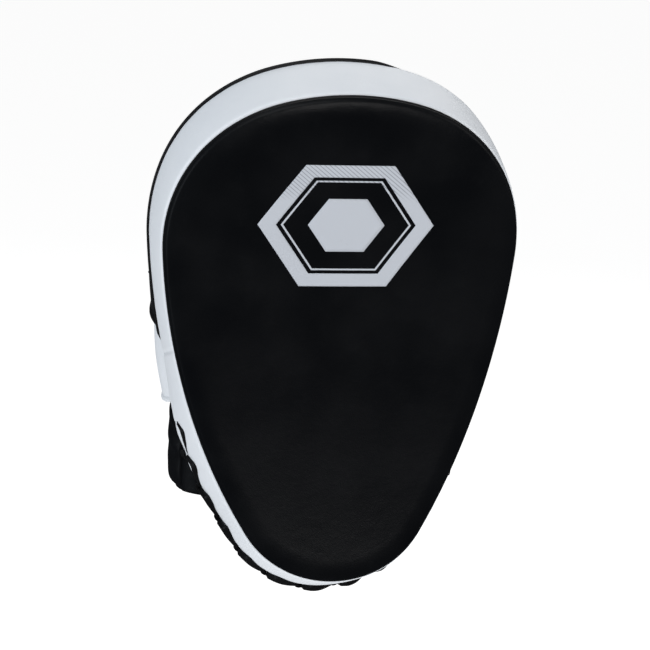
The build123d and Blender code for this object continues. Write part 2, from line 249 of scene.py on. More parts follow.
BLACK_LEATHER = leather("black_leather", (0.0018, 0.0022, 0.003), (0.0045, 0.005, 0.006), 0.38, shine=0.1)
WHITE_LEATHER = leather("white_leather", (0.74, 0.77, 0.81), (0.69, 0.725, 0.77), 0.5, shine=0.45)
TRIM_LEATHER = leather("trim_leather", (0.004, 0.004, 0.0045), (0.008, 0.008, 0.009), 0.42, grain=0.6,
                       shine=0.15)
floor_finish = Finish("floor_paint", (0.4, 0.4, 0.4), 0.9)
floor_finish.set("Emission Color", (1, 1, 1, 1))
floor_finish.set("Emission Strength", 0.95)
floor.data.materials.append(floor_finish.material)


# --- pad shape -------------------------------------------------------------------------------------
# The pad is bent about a line along X in front of the strike face. A flat height is measured along
# the plane that touches the face seam, and the rim runs straight from there towards the bending line.
FACE_RADIUS = 450 * MM
BACK_RADIUS = 488 * MM
RIM_TOP = 135.6 * MM
RIM_BOTTOM = -131.6 * MM
RIM_HALF_WIDTH = 93.4 * MM
TOP_ARC = 123 * MM
SHOULDER_ARC = 82 * MM
SIDE_ARC = 350 * MM
TIP_ARC = 54 * MM
SEAM_END = -46 * MM        # flat height where the piped rear seam stops and the lacing starts
FLARE_SIDE = 2.2 * MM      # how far the rear seam stands out beyond the face seam
FLARE_TOP = 1.4 * MM       # how much more at the top,
FLARE_LOW = 4.2 * MM       # how much more low on the sides,
FLARE_EASE = 3.2 * MM      # and how much less than that right at the tip
FLARE_TOP_START, FLARE_TOP_RUN = 55 * MM, 60 * MM
FLARE_LOW_START, FLARE_LOW_RUN = -10 * MM, 45 * MM
FLARE_EASE_START, FLARE_EASE_RUN = -70 * MM, 35 * MM
OUTER_SHARE = 0.65         # how much of the low flare is missing on the outer side


def rim_arcs():
    """The right half of the rim from the top to the tip: centre, radius, first and last bearing."""
    top = Vector((0, RIM_TOP - TOP_ARC))
    tip = Vector((0, RIM_BOTTOM + TIP_ARC))
    across = RIM_HALF_WIDTH - SHOULDER_ARC
    shoulder = top + Vector((across, math.sqrt((TOP_ARC - SHOULDER_ARC) ** 2 - across**2)))
    line = tip - shoulder
    to_shoulder = SIDE_ARC - SHOULDER_ARC
    along = (to_shoulder**2 - (SIDE_ARC - TIP_ARC) ** 2 + line.length_squared) / (2 * line.length)
    off = math.sqrt(to_shoulder**2 - along**2)
    line.normalize()
    side = shoulder + line * along + Vector((line.y, -line.x)) * off
    bearings = [0.0]
    for first, second in ((top, shoulder), (side, shoulder), (side, tip)):
        away = second - first
        bearings.append(math.atan2(away.x, away.y))
    bearings.append(math.pi)
    circles = ((top, TOP_ARC), (shoulder, SHOULDER_ARC), (side, SIDE_ARC), (tip, TIP_ARC))
    return [(*circle, bearings[i], bearings[i + 1]) for i, circle in enumerate(circles)]


RIM_ARCS = rim_arcs()
HALF_RIM = sum(radius * (last - first) for _, radius, first, last in RIM_ARCS)


def rim_point(s, inset=0.0):
    """Flat X and height at a share s of the rim, clockwise from the top, moved inwards by inset."""
    s %= 1.0
    run = min(s, 1 - s) * 2 * HALF_RIM
    for centre, radius, first, last in RIM_ARCS:
        length = radius * (last - first)
        if run <= length or last == math.pi:
            break
        run -= length
    bearing = first + run / radius
    x = centre.x + (radius - inset) * math.sin(bearing)
    return (x if s <= 0.5 else -x), centre.y + (radius - inset) * math.cos(bearing)


def rim_share(flat_height):
    """The share of the rim, on its right half, where it passes a flat height."""
    low, high = 0.0, 0.5
    for _ in range(40):
        middle = (low + high) / 2
        if rim_point(middle)[1] > flat_height:
            low = middle
        else:
            high = middle
    return low


def bent(x, flat_height, radius):
    """A point in space from its place on the flat outline and its distance from the bending line."""
    angle = math.atan(flat_height / FACE_RADIUS)
    return Vector((x, radius * math.cos(angle) - BACK_RADIUS, radius * math.sin(angle)))


def flare(s, radius):
    """How far the side wall leans out on its way from the face seam to the rear seam."""
    x, w = rim_point(s)
    low = FLARE_LOW * smooth((FLARE_LOW_START - w) / FLARE_LOW_RUN)
    low -= FLARE_EASE * smooth((FLARE_EASE_START - w) / FLARE_EASE_RUN)
    high = FLARE_TOP * smooth((w - FLARE_TOP_START) / FLARE_TOP_RUN)
    outer_side = 1 - OUTER_SHARE * smooth(x / (30 * MM) + 0.5) * (w < 0)
    share = max(0.0, (radius - FACE_RADIUS) / (BACK_RADIUS - FACE_RADIUS))
    return (FLARE_SIDE + (low + high)) * outer_side * share


def rim_frame(s, inset, radius):
    """A point of the rim, the direction along it, outwards, and away from the bending line."""
    step = 0.0005
    inset -= flare(s, radius)
    point = bent(*rim_point(s, inset), radius)
    along = (bent(*rim_point(s + step), radius) - bent(*rim_point(s - step), radius)).normalized()
    depth = Vector((0, point.y + BACK_RADIUS, point.z)).normalized()
    return point, along, depth.cross(along).normalized(), depth


def smooth(value):
    value = min(max(value, 0.0), 1.0)
    return value * value * (3 - 2 * value)


def ripple(x, y, scale, seed=0.0):
    """Gentle unevenness between -1 and 1, with bumps about scale apart."""
    return noise.noise(Vector((x / scale, y / scale, seed)))


def grid(columns, rows, place):
    """A grid whose point at shares (u, t) is place(u, t)."""
    bm = bmesh.new()
    bmesh.ops.create_grid(bm, x_segments=columns, y_segments=rows, size=0.5, calc_uvs=True)
    for vertex in bm.verts:
        vertex.co = place(vertex.co.x + 0.5, vertex.co.y + 0.5)
    return bm


def sheet(name, columns, rows, place, material, inside, thickness, offset=-1.0, body="mitt", weld=True):
    """A piece with the surface place(u, t), facing away from a point inside, and a thickness."""
    bm = grid(columns, rows, place)
    if weld:
        bmesh.ops.remove_doubles(bm, verts=bm.verts, dist=1e-6)
    piece = finish_piece(name, bm, material, body)
    orient(piece, inside)
    return thicken(piece, thickness, offset)


def finish_piece(name, bm, material, body="mitt"):
    """Makes a piece of a bmesh, smooth-shaded, riding on a body unless body is None."""
    mesh = bpy.data.meshes.new(name)
    bm.to_mesh(mesh)
    bm.free()
    mesh.shade_smooth()
    piece = bpy.data.objects.new(name, mesh)
    bpy.context.collection.objects.link(piece)
    piece.data.materials.append(material)
    if body:
        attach(piece, body)
    return piece


def thicken(piece, thickness, offset=-1.0):
    wall = piece.modifiers.new("thickness", "SOLIDIFY")
    wall.thickness = thickness
    wall.offset = offset
    return piece


def refine(piece, levels=1):
    finer = piece.modifiers.new("smooth", "SUBSURF")
    finer.levels = levels
    finer.render_levels = levels
    return piece


def orient(piece, inside):
    """Turns a sheet's faces so that they look away from a point inside."""
    bm = bmesh.new()
    bm.from_mesh(piece.data)
    score = sum((face.calc_center_median() - inside).dot(face.normal) for face in bm.faces)
    if score < 0:
        bmesh.ops.reverse_faces(bm, faces=bm.faces)
    bm.to_mesh(piece.data)
    bm.free()


# --- strike face -----------------------------------------------------------------------------------
# One piece of black leather, pulled over soft foam and turned down into the front seam, with a
# rounded edge and tiny puckers where it is gathered round the tip.
CROWN = 5 * MM
CROWN_BAND = 12 * MM       # width of the rounded edge
DOME = 1.3 * MM
FACE_MIDDLE = 15 * MM
SEAM_INSET = 0.7 * MM      # from the seam to the edge of the leather
LEATHER_THICK = 1.3 * MM
BACK_MIDDLE = Vector((0, 0, 0))
PAD_MIDDLE = Vector((0, -20 * MM, 0))
RIM_STEPS = 400


def drawn_in(x, w, share):
    """A flat place moved towards the middle of the face."""
    return x * share, FACE_MIDDLE + (w - FACE_MIDDLE) * share


def face_height(x, w, inset):
    """How far the leather stands proud of the face seam."""
    edge = math.sqrt(1 - (1 - min(max(inset / CROWN_BAND, 0.0), 1.0)) ** 2)
    dome = DOME * max(0.0, 1 - (x / RIM_HALF_WIDTH) ** 2 - ((w - FACE_MIDDLE) / RIM_TOP) ** 2)
    sway = 0.22 * MM * ripple(x, w, 0.045, 3.0)
    return CROWN * edge + (dome + sway) * edge


def face_point(u, t):
    """t runs from the seam to the middle of the face."""
    half = 0.5
    band = 16 * MM
    inset = SEAM_INSET + (band - SEAM_INSET) * min(t / half, 1.0) ** 1.35
    x, w = rim_point(u, inset)
    height = face_height(x, w, inset)
    gather = math.exp(-((inset - 4 * MM) / (3.5 * MM)) ** 2)
    height += 0.16 * MM * gather * ripple(x, w, 7 * MM, 7.0)
    if t > half:
        x, w = drawn_in(x, w, 1 - (t - half) / (1 - half))
        height = face_height(x, w, CROWN_BAND)
    tuck = 1.6 * MM * (1 - smooth(inset / (2.2 * MM)))
    return bent(x, w, FACE_RADIUS - height + tuck)


strike_face = sheet("strike_face_leather", RIM_STEPS, 60, face_point, BLACK_LEATHER, BACK_MIDDLE,
                    LEATHER_THICK)
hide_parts("strike_face_cover")


# --- printed emblem --------------------------------------------------------------------------------
# A pale ink film screen-printed on the leather: a six-sided target with a hatched ring, a thin line
# and a solid core.
PRINT_HEIGHT = 64 * MM
PRINT_RADIUS = 46 * MM
PRINT_SQUASH = 0.84
PRINT_LIFT = 0.12 * MM


def print_finish():
    """Slightly chalky ink, with fine slanted lines left open in its upper part."""
    finish = Finish("pale_print", (0.46, 0.49, 0.54), 0.55)
    spot = finish.node("SeparateXYZ", {}, {0: finish.place()}, "X")
    height = finish.node("SeparateXYZ", {}, {0: finish.place()}, "Z")
    line = (spot * 0.8 + height * 1.0) * 480.0
    hatch = line.math("FRACT").ramp(0.74, 0.86) * (1 - height.ramp(0.074, 0.082, 1.0, 0.0))
    wear = finish.noise(260.0, 5.0, 0.6).ramp(0.62, 0.8, 0.0, 0.35)
    shade = finish.mix(wear, (0.46, 0.49, 0.54, 1), (0.35, 0.375, 0.42, 1))
    finish.set("Base Color", finish.mix(hatch * 0.75, shade, (0.12, 0.13, 0.16, 1)))
    finish.bump(finish.cells(GRAIN_SCALE, "SMOOTH_F1") + finish.noise(900.0) * 0.5, 0.03 * MM)
    return finish.material


PRINT = print_finish()


def printed_band(name, outer, inner):
    """A six-sided ring of ink; inner 0 makes it solid."""
    def place(u, t):
        corner, share = divmod(u * 6, 1)
        radius = inner + (outer - inner) * t
        first, second = (Vector((math.sin(a), math.cos(a))) for a in
                         (math.radians(60 * corner + 90), math.radians(60 * (corner + 1) + 90)))
        spot = first.lerp(second, share) * radius
        x = spot.x
        w = PRINT_HEIGHT + spot.y * PRINT_SQUASH
        return bent(x, w, FACE_RADIUS - face_height(x, w, CROWN_BAND) - PRINT_LIFT)
    band = sheet(name, 96, 8, place, PRINT, BACK_MIDDLE, 0.25 * MM)
    return band


emblem_ring = printed_band("emblem_ring", PRINT_RADIUS, PRINT_RADIUS - 9.5 * MM)
printed_band("emblem_line", PRINT_RADIUS - 12 * MM, PRINT_RADIUS - 13.2 * MM)
printed_band("emblem_core", 20 * MM, 0.0)
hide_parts("face_emblem")


# --- piping ----------------------------------------------------------------------------------------
# Leather strip folded over a cord and caught in a seam: all round the face seam, and along the rear
# seam down to where the lacing starts.
PIPE = 1.5 * MM
PIPE_SUNK = 1.9 * MM
FRONT_PIPE = 1.0 * MM
FRONT_SUNK = 1.4 * MM      # the gathered face hides most of the front piping


def tube(name, rows, path, size, material, body="mitt", sides=12, closed=False):
    """A tube along path(t), which gives a point and two cross directions; size(t) gives two radii."""
    def place(u, t):
        point, across, up = path(t)
        wide, tall = size(t)
        angle = 2 * math.pi * u
        return point + across * (wide * math.cos(angle)) + up * (tall * math.sin(angle))
    bm = grid(sides, rows, place)
    bmesh.ops.remove_doubles(bm, verts=bm.verts, dist=1e-6)
    if not closed:
        bmesh.ops.holes_fill(bm, edges=[e for e in bm.edges if e.is_boundary], sides=0)
    bmesh.ops.recalc_face_normals(bm, faces=bm.faces)
    return finish_piece(name, bm, material, body)


def seam_path(radius, first, last, sunk=0.0, everywhere=0.0):
    """Along a seam; the piping lies deeper over the outer shoulder and low on the thumb side."""
    def path(t):
        s = first + (last - first) * t
        deep = everywhere + sunk * smooth((s - 0.02) / 0.03) * smooth((0.3 - s) / 0.05)
        deep += sunk * smooth((-rim_point(s)[1] - 2 * MM) / (8 * MM)) * (s > 0.5 or s < 0)
        point, _, outward, depth = rim_frame(s, deep, radius)
        return point, outward, depth
    return path


front_path = seam_path(FACE_RADIUS + FRONT_PIPE, 0.0, 1.0, everywhere=FRONT_SUNK)
front_piping = tube("front_piping_cord", 360, front_path, lambda t: (FRONT_PIPE,) * 2, TRIM_LEATHER,
                    closed=True)
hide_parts("front_piping")
LACED = rim_share(SEAM_END)
rear_piping = tube("rear_piping_cord", 300, seam_path(BACK_RADIUS - PIPE, -LACED, LACED, PIPE_SUNK),
                   lambda t: (PIPE * min(1, 0.2 + 60 * min(t, 1 - t)),) * 2, TRIM_LEATHER)
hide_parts("rear_piping")


# --- side wall -------------------------------------------------------------------------------------
# White leather gusset between the two seams, slightly swollen by the foam behind it. Its strip is
# joined on both sides, and round the tip its rear edge is turned over and laced to the back panel.
WALL_FRONT = FACE_RADIUS + 1.6 * MM
WALL_BACK = BACK_RADIUS - 0.4 * MM
WALL_SWELL = 1.1 * MM
PUCKER = 0.3 * MM          # depth of the puckers along the face seam
JOINT_DEPTH = 0.9 * MM
JOINT_HEIGHT = -6 * MM
JOINT_SLANT = 8 * MM       # how much lower a joint of the strip is at the rear edge
LACE_COUNT = 13
LACE_SPAN = 1 - 2 * LACED
WALL_JOINTS = (rim_share(JOINT_HEIGHT), 1 - rim_share(JOINT_HEIGHT))


def lace_wave(s):
    """1 at each lace hole and 0 between holes, in the laced stretch of the rim."""
    share = (s - LACED) / LACE_SPAN
    if not 0 < share < 1:
        return 0.0
    return 0.5 + 0.5 * math.cos(2 * math.pi * (share * LACE_COUNT - 0.15))


def wall_point(u, t):
    radius = WALL_FRONT + (WALL_BACK - WALL_FRONT) * t
    swell = WALL_SWELL * math.sin(math.pi * t) ** 0.8
    x, w = rim_point(u)
    puckers = math.exp(-t * 8) * PUCKER * ripple(x, w, 5 * MM, 1.0)
    puckers += math.exp(-(1 - t) * 9) * 0.2 * MM * ripple(x, w, 7 * MM, 4.0)
    sway = 0.25 * MM * ripple(x, w, 30 * MM, 9.0 + t) * math.sin(math.pi * t)
    pulled = -0.7 * MM * lace_wave(u) * math.exp(-((1 - t) * (WALL_BACK - WALL_FRONT) / (7 * MM)) ** 2)
    joint = 0.0
    for share, down in zip(WALL_JOINTS, (1, -1)):
        off = (u - share) * 2 * HALF_RIM - down * JOINT_SLANT * t
        joint -= JOINT_DEPTH * math.exp(-(off / (0.9 * MM)) ** 2)
    edge = -1.2 * MM * (1 - smooth(min(t, 1 - t) * 22)) if t < 0.5 or not LACED < u < 1 - LACED else 0
    return rim_frame(u, -(swell + puckers + sway + pulled + joint + edge), radius)[0]


side_wall = sheet("side_gusset_leather", 900, 20, wall_point, WHITE_LEATHER, PAD_MIDDLE, LEATHER_THICK)
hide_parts("side_gusset")


# --- back panel ------------------------------------------------------------------------------------
# Black leather over the firm base foam, sewn into the rear seam and laced to the side wall round
# the tip.
BACK_EDGE_DROP = 2.6 * MM  # how far the edge is pulled in by its seam


def back_point(u, t):
    inset = 0.9 * MM + 15 * MM * min(t / 0.5, 1.0) ** 1.3
    x, w = rim_point(u, inset - flare(u, BACK_RADIUS) * (1 - min(2 * t, 1.0)))
    drop = BACK_EDGE_DROP * (1 - smooth(inset / (7 * MM)))
    drop += 0.6 * MM * lace_wave(u) * math.exp(-inset / (5 * MM))
    if t > 0.5:
        x, w = drawn_in(x, w, 1 - (t - 0.5) / 0.5)
        drop = 0.0
    return bent(x, w, BACK_RADIUS - drop + 0.12 * MM * ripple(x, w, 0.03, 5.0))


back_panel = sheet("back_panel_leather", RIM_STEPS, 40, back_point, BLACK_LEATHER,
                   Vector((0, -100 * MM, 0)), LEATHER_THICK)
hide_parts("back_panel")


# --- foam layers -----------------------------------------------------------------------------------
# Three glued layers: soft foam right under the strike face, a shock core, and a firm base against
# the back panel.
def foam(name, colour, cell):
    """Cut foam: small open cells, painted darker inside as shade, and faint saw marks."""
    finish = Finish(name, colour, 0.88)
    cells = finish.cells(cell, "SMOOTH_F1")
    cloud = finish.noise(60.0, 3.0)
    painted_shade = tuple(c * 0.6 for c in colour)
    # The open cells are painted darker than the foam around them: painted shade inside the pores.
    finish.mottle(cells.ramp(0.15, 0.5) * 0.7 + cloud * 0.3, painted_shade, colour)
    finish.bump(cells, 0.3 * MM)
    return finish.material


SOFT_FOAM = foam("soft_foam", (0.62, 0.6, 0.52), 900.0)
DENSE_FOAM = foam("dense_foam", (0.05, 0.052, 0.058), 1300.0)
SOFT_FOAM_THICK = 8 * MM


def soft_foam_point(u, t):
    inset = 6 * MM + 8 * MM * min(2 * t, 1.0)
    x, w = rim_point(u, inset)
    if t > 0.5:
        x, w = drawn_in(x, w, 2 - 2 * t)
    return bent(x, w, FACE_RADIUS - face_height(x, w, inset) + 2 * MM)


soft_foam = sheet("soft_face_foam_layer", 96, 16, soft_foam_point, SOFT_FOAM, BACK_MIDDLE, SOFT_FOAM_THICK)
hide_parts("soft_face_foam")
for node in ("shock_core_foam", "firm_base_foam"):
    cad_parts[node].data.materials.clear()
    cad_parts[node].data.materials.append(DENSE_FOAM)


# --- lacing ----------------------------------------------------------------------------------------
# One leather lace, whipped over the rear edge round the tip. Each stitch comes out of a hole in the
# side wall, runs down along the edge, thinning as it is pulled tight, and goes over it to the back.
LACE_EDGE = 2.6 * MM       # from the rear edge to the ends of a stitch
LACE_IN = 7.5 * MM         # how far the thick part of a stitch lies in from its ends
LACE_ASIDE = 6.5 * MM      # how much further from the edge the first and last stitches lie
LACE_WIDE = 4.4 * MM
LACE_THICK = 3.0 * MM
LACE_LIFT = 1.6 * MM


def lace_hole(number):
    return LACED + LACE_SPAN * (number + 0.2) / LACE_COUNT


def rim_stitch(number):
    """A spindle from its knobbly start at one hole to its thin end beside the last hole."""
    first, last = lace_hole(number + 0.9), lace_hole(number - 0.14)
    end = min(number + 0.5, LACE_COUNT - number - 0.5) / LACE_COUNT
    outermost = 1 - smooth(end / 0.25)
    aside = LACE_ASIDE * outermost
    slim = 1 - 0.4 * outermost

    def path(t):
        back = aside + LACE_EDGE + LACE_IN * smooth(t / 0.28) * (1 - smooth((t - 0.3) / 0.7))
        lift = LACE_LIFT * slim**2 * (1 - 0.6 * t) * smooth(t * 8) - 1.2 * MM * (1 - smooth(t * 8))
        sway = 0.3 * MM * math.sin(7 * t + number * 2.3)
        s = first + (last - first) * t
        point, _, outward, depth = rim_frame(s, -lift, BACK_RADIUS - back - sway)
        return point, depth, outward

    def size(t):
        spindle = 0.3 + 0.7 * smooth((t + 0.06) / 0.34) * (1 - smooth((t - 0.36) / 0.7))
        knob = math.exp(-((t - 0.07) / 0.05) ** 2)
        close = min(1.0, 0.25 + 14 * min(t, 1 - t))
        lumps = 1 + 0.08 * math.sin(19 * t + number * 1.7)
        wide = LACE_WIDE * spindle * lumps + 0.9 * MM * knob
        return wide * close * slim, (LACE_THICK * spindle + 0.6 * MM * knob) * close * slim

    return path, size


def back_stitch(number):
    """From the wall over the rear edge and into a hole in the back panel."""
    start, end = lace_hole(number - 0.02), lace_hole(number - 0.42)

    def path(t):
        s = start + (end - start) * t
        over = smooth(2.2 * t - 0.1)
        inset = -1.6 * MM * (1 - smooth(2 * t - 0.4)) + 6.5 * MM * smooth(1.8 * t - 0.8)
        lift = -2.6 * MM * (1 - over) + 1.1 * MM * over - 1.4 * MM * smooth(6 * t - 5)
        point, along, outward, depth = rim_frame(s, inset, BACK_RADIUS + lift)
        return point, along, (depth * over + outward * (1.02 - over)).normalized()

    def size(t):
        close = min(1.0, 0.2 + 8 * min(t, 1 - t))
        return 1.7 * MM * close, 1.0 * MM * close

    return path, size


for number in range(1, LACE_COUNT + 1):
    for kind, stitch in (("rim", rim_stitch), ("back", back_stitch)):
        path, size = stitch(number - 1)
        tube(f"lace_{kind}_stitch_{number}", 16, path, size, TRIM_LEATHER, sides=10)
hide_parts("edge_lacing")


# --- sewing thread ---------------------------------------------------------------------------------
# Bonded thread in short stitches, sunk a little into the leather.
def thread(name, colour):
    finish = Finish(name, colour, 0.55)
    twist = finish.noise(2500.0, 2.0)
    # Darker where the twist is low: painted shade in the grooves of the twist.
    finish.mottle(twist, tuple(c * 0.7 for c in colour), colour)
    finish.bump(twist, 0.05 * MM)
    return finish.material


BLACK_THREAD = thread("black_thread", (0.02, 0.02, 0.022))
WHITE_THREAD = thread("white_thread", (0.75, 0.76, 0.78))
STITCH = 3.4 * MM          # from one stitch to the next


def stitches(name, count, surface, route, inside, material, lift=0.1 * MM, body="mitt"):
    """A row along route(s), a line of shares (u, t), lifted off a surface and away from inside."""
    bm = bmesh.new()
    for number in range(count):
        s = (number + 0.5) / count
        u, t = route(s)
        point = surface(u, t)
        along = surface(*route(min(s + 0.004, 1))) - surface(*route(max(s - 0.004, 0)))
        along.normalize()
        across = surface(u + 0.01, t) - surface(u - 0.01, t)
        out = across.cross(surface(u, t + 0.01) - surface(u, t - 0.01))
        if out.dot(point - inside) < 0:
            out.negate()
        out = (out - along * out.dot(along)).normalized()
        turn = Matrix((along, out.cross(along), out)).transposed().to_4x4()
        shape = Matrix.Diagonal((STITCH * 0.38, 0.36 * MM, 0.3 * MM, 1))
        place = Matrix.Translation(point + out * lift) @ turn @ shape
        bmesh.ops.create_icosphere(bm, subdivisions=1, radius=1, matrix=place)
    return finish_piece(name, bm, material, body)


stitches("back_panel_edge_stitches", 190, back_point, lambda s: (s, 0.17), PAD_MIDDLE, BLACK_THREAD)


# --- padded walls ----------------------------------------------------------------------------------
# The hood, the thumb pocket and the cuff are two skins sewn together along their edges and seams,
# with foam between them that swells where no seam holds it down.
def weave(name, colour, scale):
    """Knitted lining cloth: small loops in rows, painted darker between the loops as shade, a little
    fluff.
    """
    finish = Finish(name, colour, 0.85, Sheen_Weight=0.15)
    loops = finish.cells(scale)
    fluff = finish.noise(scale * 0.6, 4.0)
    painted_shade = tuple(c * 0.35 for c in colour)
    # Darker between the loops, where the bump is low: painted shade in the gaps.
    finish.mottle(loops.ramp(0.2, 0.65) * 0.8 + fluff * 0.2, colour, painted_shade)
    finish.bump(1 - loops, 0.18 * MM)
    return finish.material


LINING_CLOTH = weave("lining_cloth", (0.035, 0.036, 0.04), 1100.0)
OUTER, INNER, EDGE = 0, 1, 2


def seam_dip(u, seams, width):
    """1 on a seam and 0 away from it."""
    return max((math.exp(-((u - seam) / width) ** 2) for seam in seams), default=0.0)


def wall_mesh(columns, rows, outer, inner, seams):
    """A closed wall between two surfaces of shares (u, t); also which vertices the sewing holds."""
    bm = bmesh.new()
    side = bm.faces.layers.int.new("side")
    sewn = bm.verts.layers.int.new("sewn")
    for which, surface in ((OUTER, outer), (INNER, inner)):
        verts = bmesh.ops.create_grid(bm, x_segments=columns, y_segments=rows, size=0.5)["verts"]
        for vertex in verts:
            u, t = vertex.co.x + 0.5, vertex.co.y + 0.5
            at_edge = min(t, 1 - t, u, 1 - u) < 1e-4
            vertex[sewn] = int(at_edge or seam_dip(u, seams, 0.4 / columns) > 0.5)
            vertex.co = surface(u, t)
            for face in vertex.link_faces:
                face[side] = which
    rims = [edge for edge in bm.edges if edge.is_boundary]
    ends = bmesh.ops.bridge_loops(bm, edges=rims)
    for face in ends["faces"]:
        face[side] = EDGE
    across = [edge for edge in ends["edges"] if edge not in rims]
    bmesh.ops.subdivide_edges(bm, edges=across, cuts=2, use_grid_fill=True)
    bmesh.ops.recalc_face_normals(bm, faces=bm.faces)
    mesh = bpy.data.meshes.new("wall")
    bm.to_mesh(mesh)
    bm.free()
    return mesh


def blow_up(mesh, most, pressure):
    """Swells a closed mesh by cloth simulation; no point moves further than most."""
    body = bpy.data.objects.new("swelling", mesh)
    bpy.context.collection.objects.link(body)
    held = body.vertex_groups.new(name="sewn")
    held.add([i for i, value in enumerate(mesh.attributes["sewn"].data) if value.value], 1.0, "REPLACE")
    cloth = body.modifiers.new("cloth", "CLOTH")
    cloth.settings.use_pressure = True
    cloth.settings.uniform_pressure_force = pressure
    cloth.settings.effector_weights.gravity = 0
    cloth.settings.vertex_group_mass = "sewn"
    cloth.settings.quality = 5
    cloth.point_cache.frame_end = 20
    scene = bpy.context.scene
    for step in range(1, 21):
        scene.frame_set(step)
    shown = body.evaluated_get(bpy.context.evaluated_depsgraph_get())
    swollen = [vertex.co.copy() for vertex in shown.data.vertices]
    bpy.data.objects.remove(body)
    for vertex, target in zip(mesh.vertices, swollen):
        move = target - vertex.co
        vertex.co += move * min(1.0, most / max(move.length, 1e-9))
    scene.frame_set(1)


def skin_from(mesh, name, sides, material, thickness, shrink=0.0, body="mitt"):
    """The faces of a wall on the given sides, as a skin of its own."""
    bm = bmesh.new()
    bm.from_mesh(mesh)
    bm.normal_update()
    if shrink:
        for vertex, normal in [(v, v.normal.copy()) for v in bm.verts]:
            vertex.co -= normal * shrink
    side = bm.faces.layers.int["side"]
    bmesh.ops.delete(bm, geom=[face for face in bm.faces if face[side] not in sides], context="FACES")
    skin = finish_piece(name, bm, material, body)
    if thickness:
        thicken(skin, thickness)
    return refine(skin)


def padded_wall(name, mesh, leather_finish, body="mitt", most=4.5 * MM, pressure=30.0):
    """The leather, edge to edge, then the lining and foam of one padded wall."""
    blow_up(mesh, most, pressure)
    shell = skin_from(mesh, f"{name}_leather", (OUTER, EDGE), leather_finish, 1.1 * MM, body=body)
    lining = skin_from(mesh, f"{name}_lining_cloth", (INNER,), LINING_CLOTH, 0.7 * MM, body=body)
    filling = skin_from(mesh, f"{name}_foam", (OUTER, INNER, EDGE), SOFT_FOAM, 0, 1.7 * MM, body)
    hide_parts(f"{name}_shell")
    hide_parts(f"{name}_lining")
    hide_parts(f"{name}_padding")
    return shell, lining, filling


def section_at(sections, height):
    """Centre X, centre Y, half width and half depth at a height, running smoothly through sections."""
    last = len(sections) - 2
    number = max(0, min(last, sum(height > row[0] for row in sections) - 1))
    low, high = sections[number], sections[number + 1]
    before, after = sections[max(number - 1, 0)], sections[min(number + 2, last + 1)]
    span = high[0] - low[0]
    share = (height - low[0]) / span
    values = []
    for k in range(1, 5):
        leave = (high[k] - before[k]) / (high[0] - before[0]) * span
        arrive = (after[k] - low[k]) / (after[0] - low[0]) * span
        rise = high[k] - low[k]
        cubic = leave + arrive - 2 * rise
        values.append(low[k] + share * (leave + share * (3 * rise - 2 * leave - arrive + share * cubic)))
    return values


def panel_y(z):
    """Y of the back panel at a height."""
    return math.sqrt(BACK_RADIUS**2 - z**2) - BACK_RADIUS


# --- finger hood -----------------------------------------------------------------------------------
# White leather hood over the fingers, padded, in three sewn panels. Its lower edge slants up towards
# the thumb, and each side is let in with black mesh for air.
HOOD_SECTIONS = [[value * MM for value in row] for row in (
    (-47, 0, 22, 79, 39.5), (-25, 0, 20.5, 86, 42), (5, 0, 18, 92, 44), (43, 0, 13, 94.3, 45),
    (80, 0, 0, 87, 46), (110, 0, -9, 69, 35), (131, 0, -17, 42, 15))]
HOOD_SLOPE = math.tan(math.radians(14.2))
HOOD_CROWN = (104 * MM, 131 * MM)
HOOD_WALL = 11 * MM
HOOD_SEAMS = (0.34, 0.66)
MESH_LOW, MESH_HIGH = -9 * MM, 46 * MM
MESH_REACH = 27 * MM       # how far back the mesh runs


def mesh_edge(z):
    """Y of the edge between the mesh and the leather at a height."""
    up = smooth((z - MESH_LOW) / (18 * MM))
    down = smooth((MESH_HIGH - z) / (12 * MM))
    base = panel_y(z)
    return base + (MESH_REACH - base) * up * down


CROWN_ARC = 130 * MM       # roundness of a form's seam along the back panel at its top


def form_point(sections, inset, bearing, z, crown):
    """A point of a lofted form that closes down on to the back panel between two heights."""
    x, y, wide, deep = section_at(sections, z)
    close = math.sqrt(max(0.0, 1 - max(0.0, (z + inset - crown[0]) / (crown[1] - crown[0])) ** 2))
    point = Vector((x + (wide - inset) * math.sin(bearing), y + (deep - inset) * math.cos(bearing), z))
    floor_y = panel_y(z) + 0.4 * MM
    point.y = floor_y + max(0.0, point.y - floor_y) * close
    point.x = x + (point.x - x) * (0.9 + 0.1 * close)
    point.z -= (1 - close) * (point.x - x) ** 2 / CROWN_ARC
    return point


def bearing_of(sections, inset, z, y):
    """The bearing at which a form comes down to a given Y."""
    _, centre, _, deep = section_at(sections, z)
    return math.acos(max(-1.0, min(1.0, (y - centre) / (deep - inset))))


def hood_point(u, t, inset, dip):
    share = 2 * u - 1
    side = math.copysign(1, share)
    share = abs(share)
    x = side * 80 * MM * math.sin(share * 1.7)
    for _ in range(4):
        low = -HOOD_SLOPE * x
        z = low + (HOOD_CROWN[1] - inset - low) * t
        full = bearing_of(HOOD_SECTIONS, inset, z, panel_y(z))
        end = bearing_of(HOOD_SECTIONS, inset, z, mesh_edge(z))
        bearing = full * share if share < 0.5 else full / 2 + (end - full / 2) * (share - 0.5) * 2
        if t > 0.05:
            x = section_at(HOOD_SECTIONS, low)[2] * math.sin(bearing) * side
        else:
            x = form_point(HOOD_SECTIONS, inset, bearing * side, z, HOOD_CROWN).x
    held = seam_dip(u, HOOD_SEAMS, 0.018)
    return form_point(HOOD_SECTIONS, inset + dip * held, bearing * side, z, HOOD_CROWN)


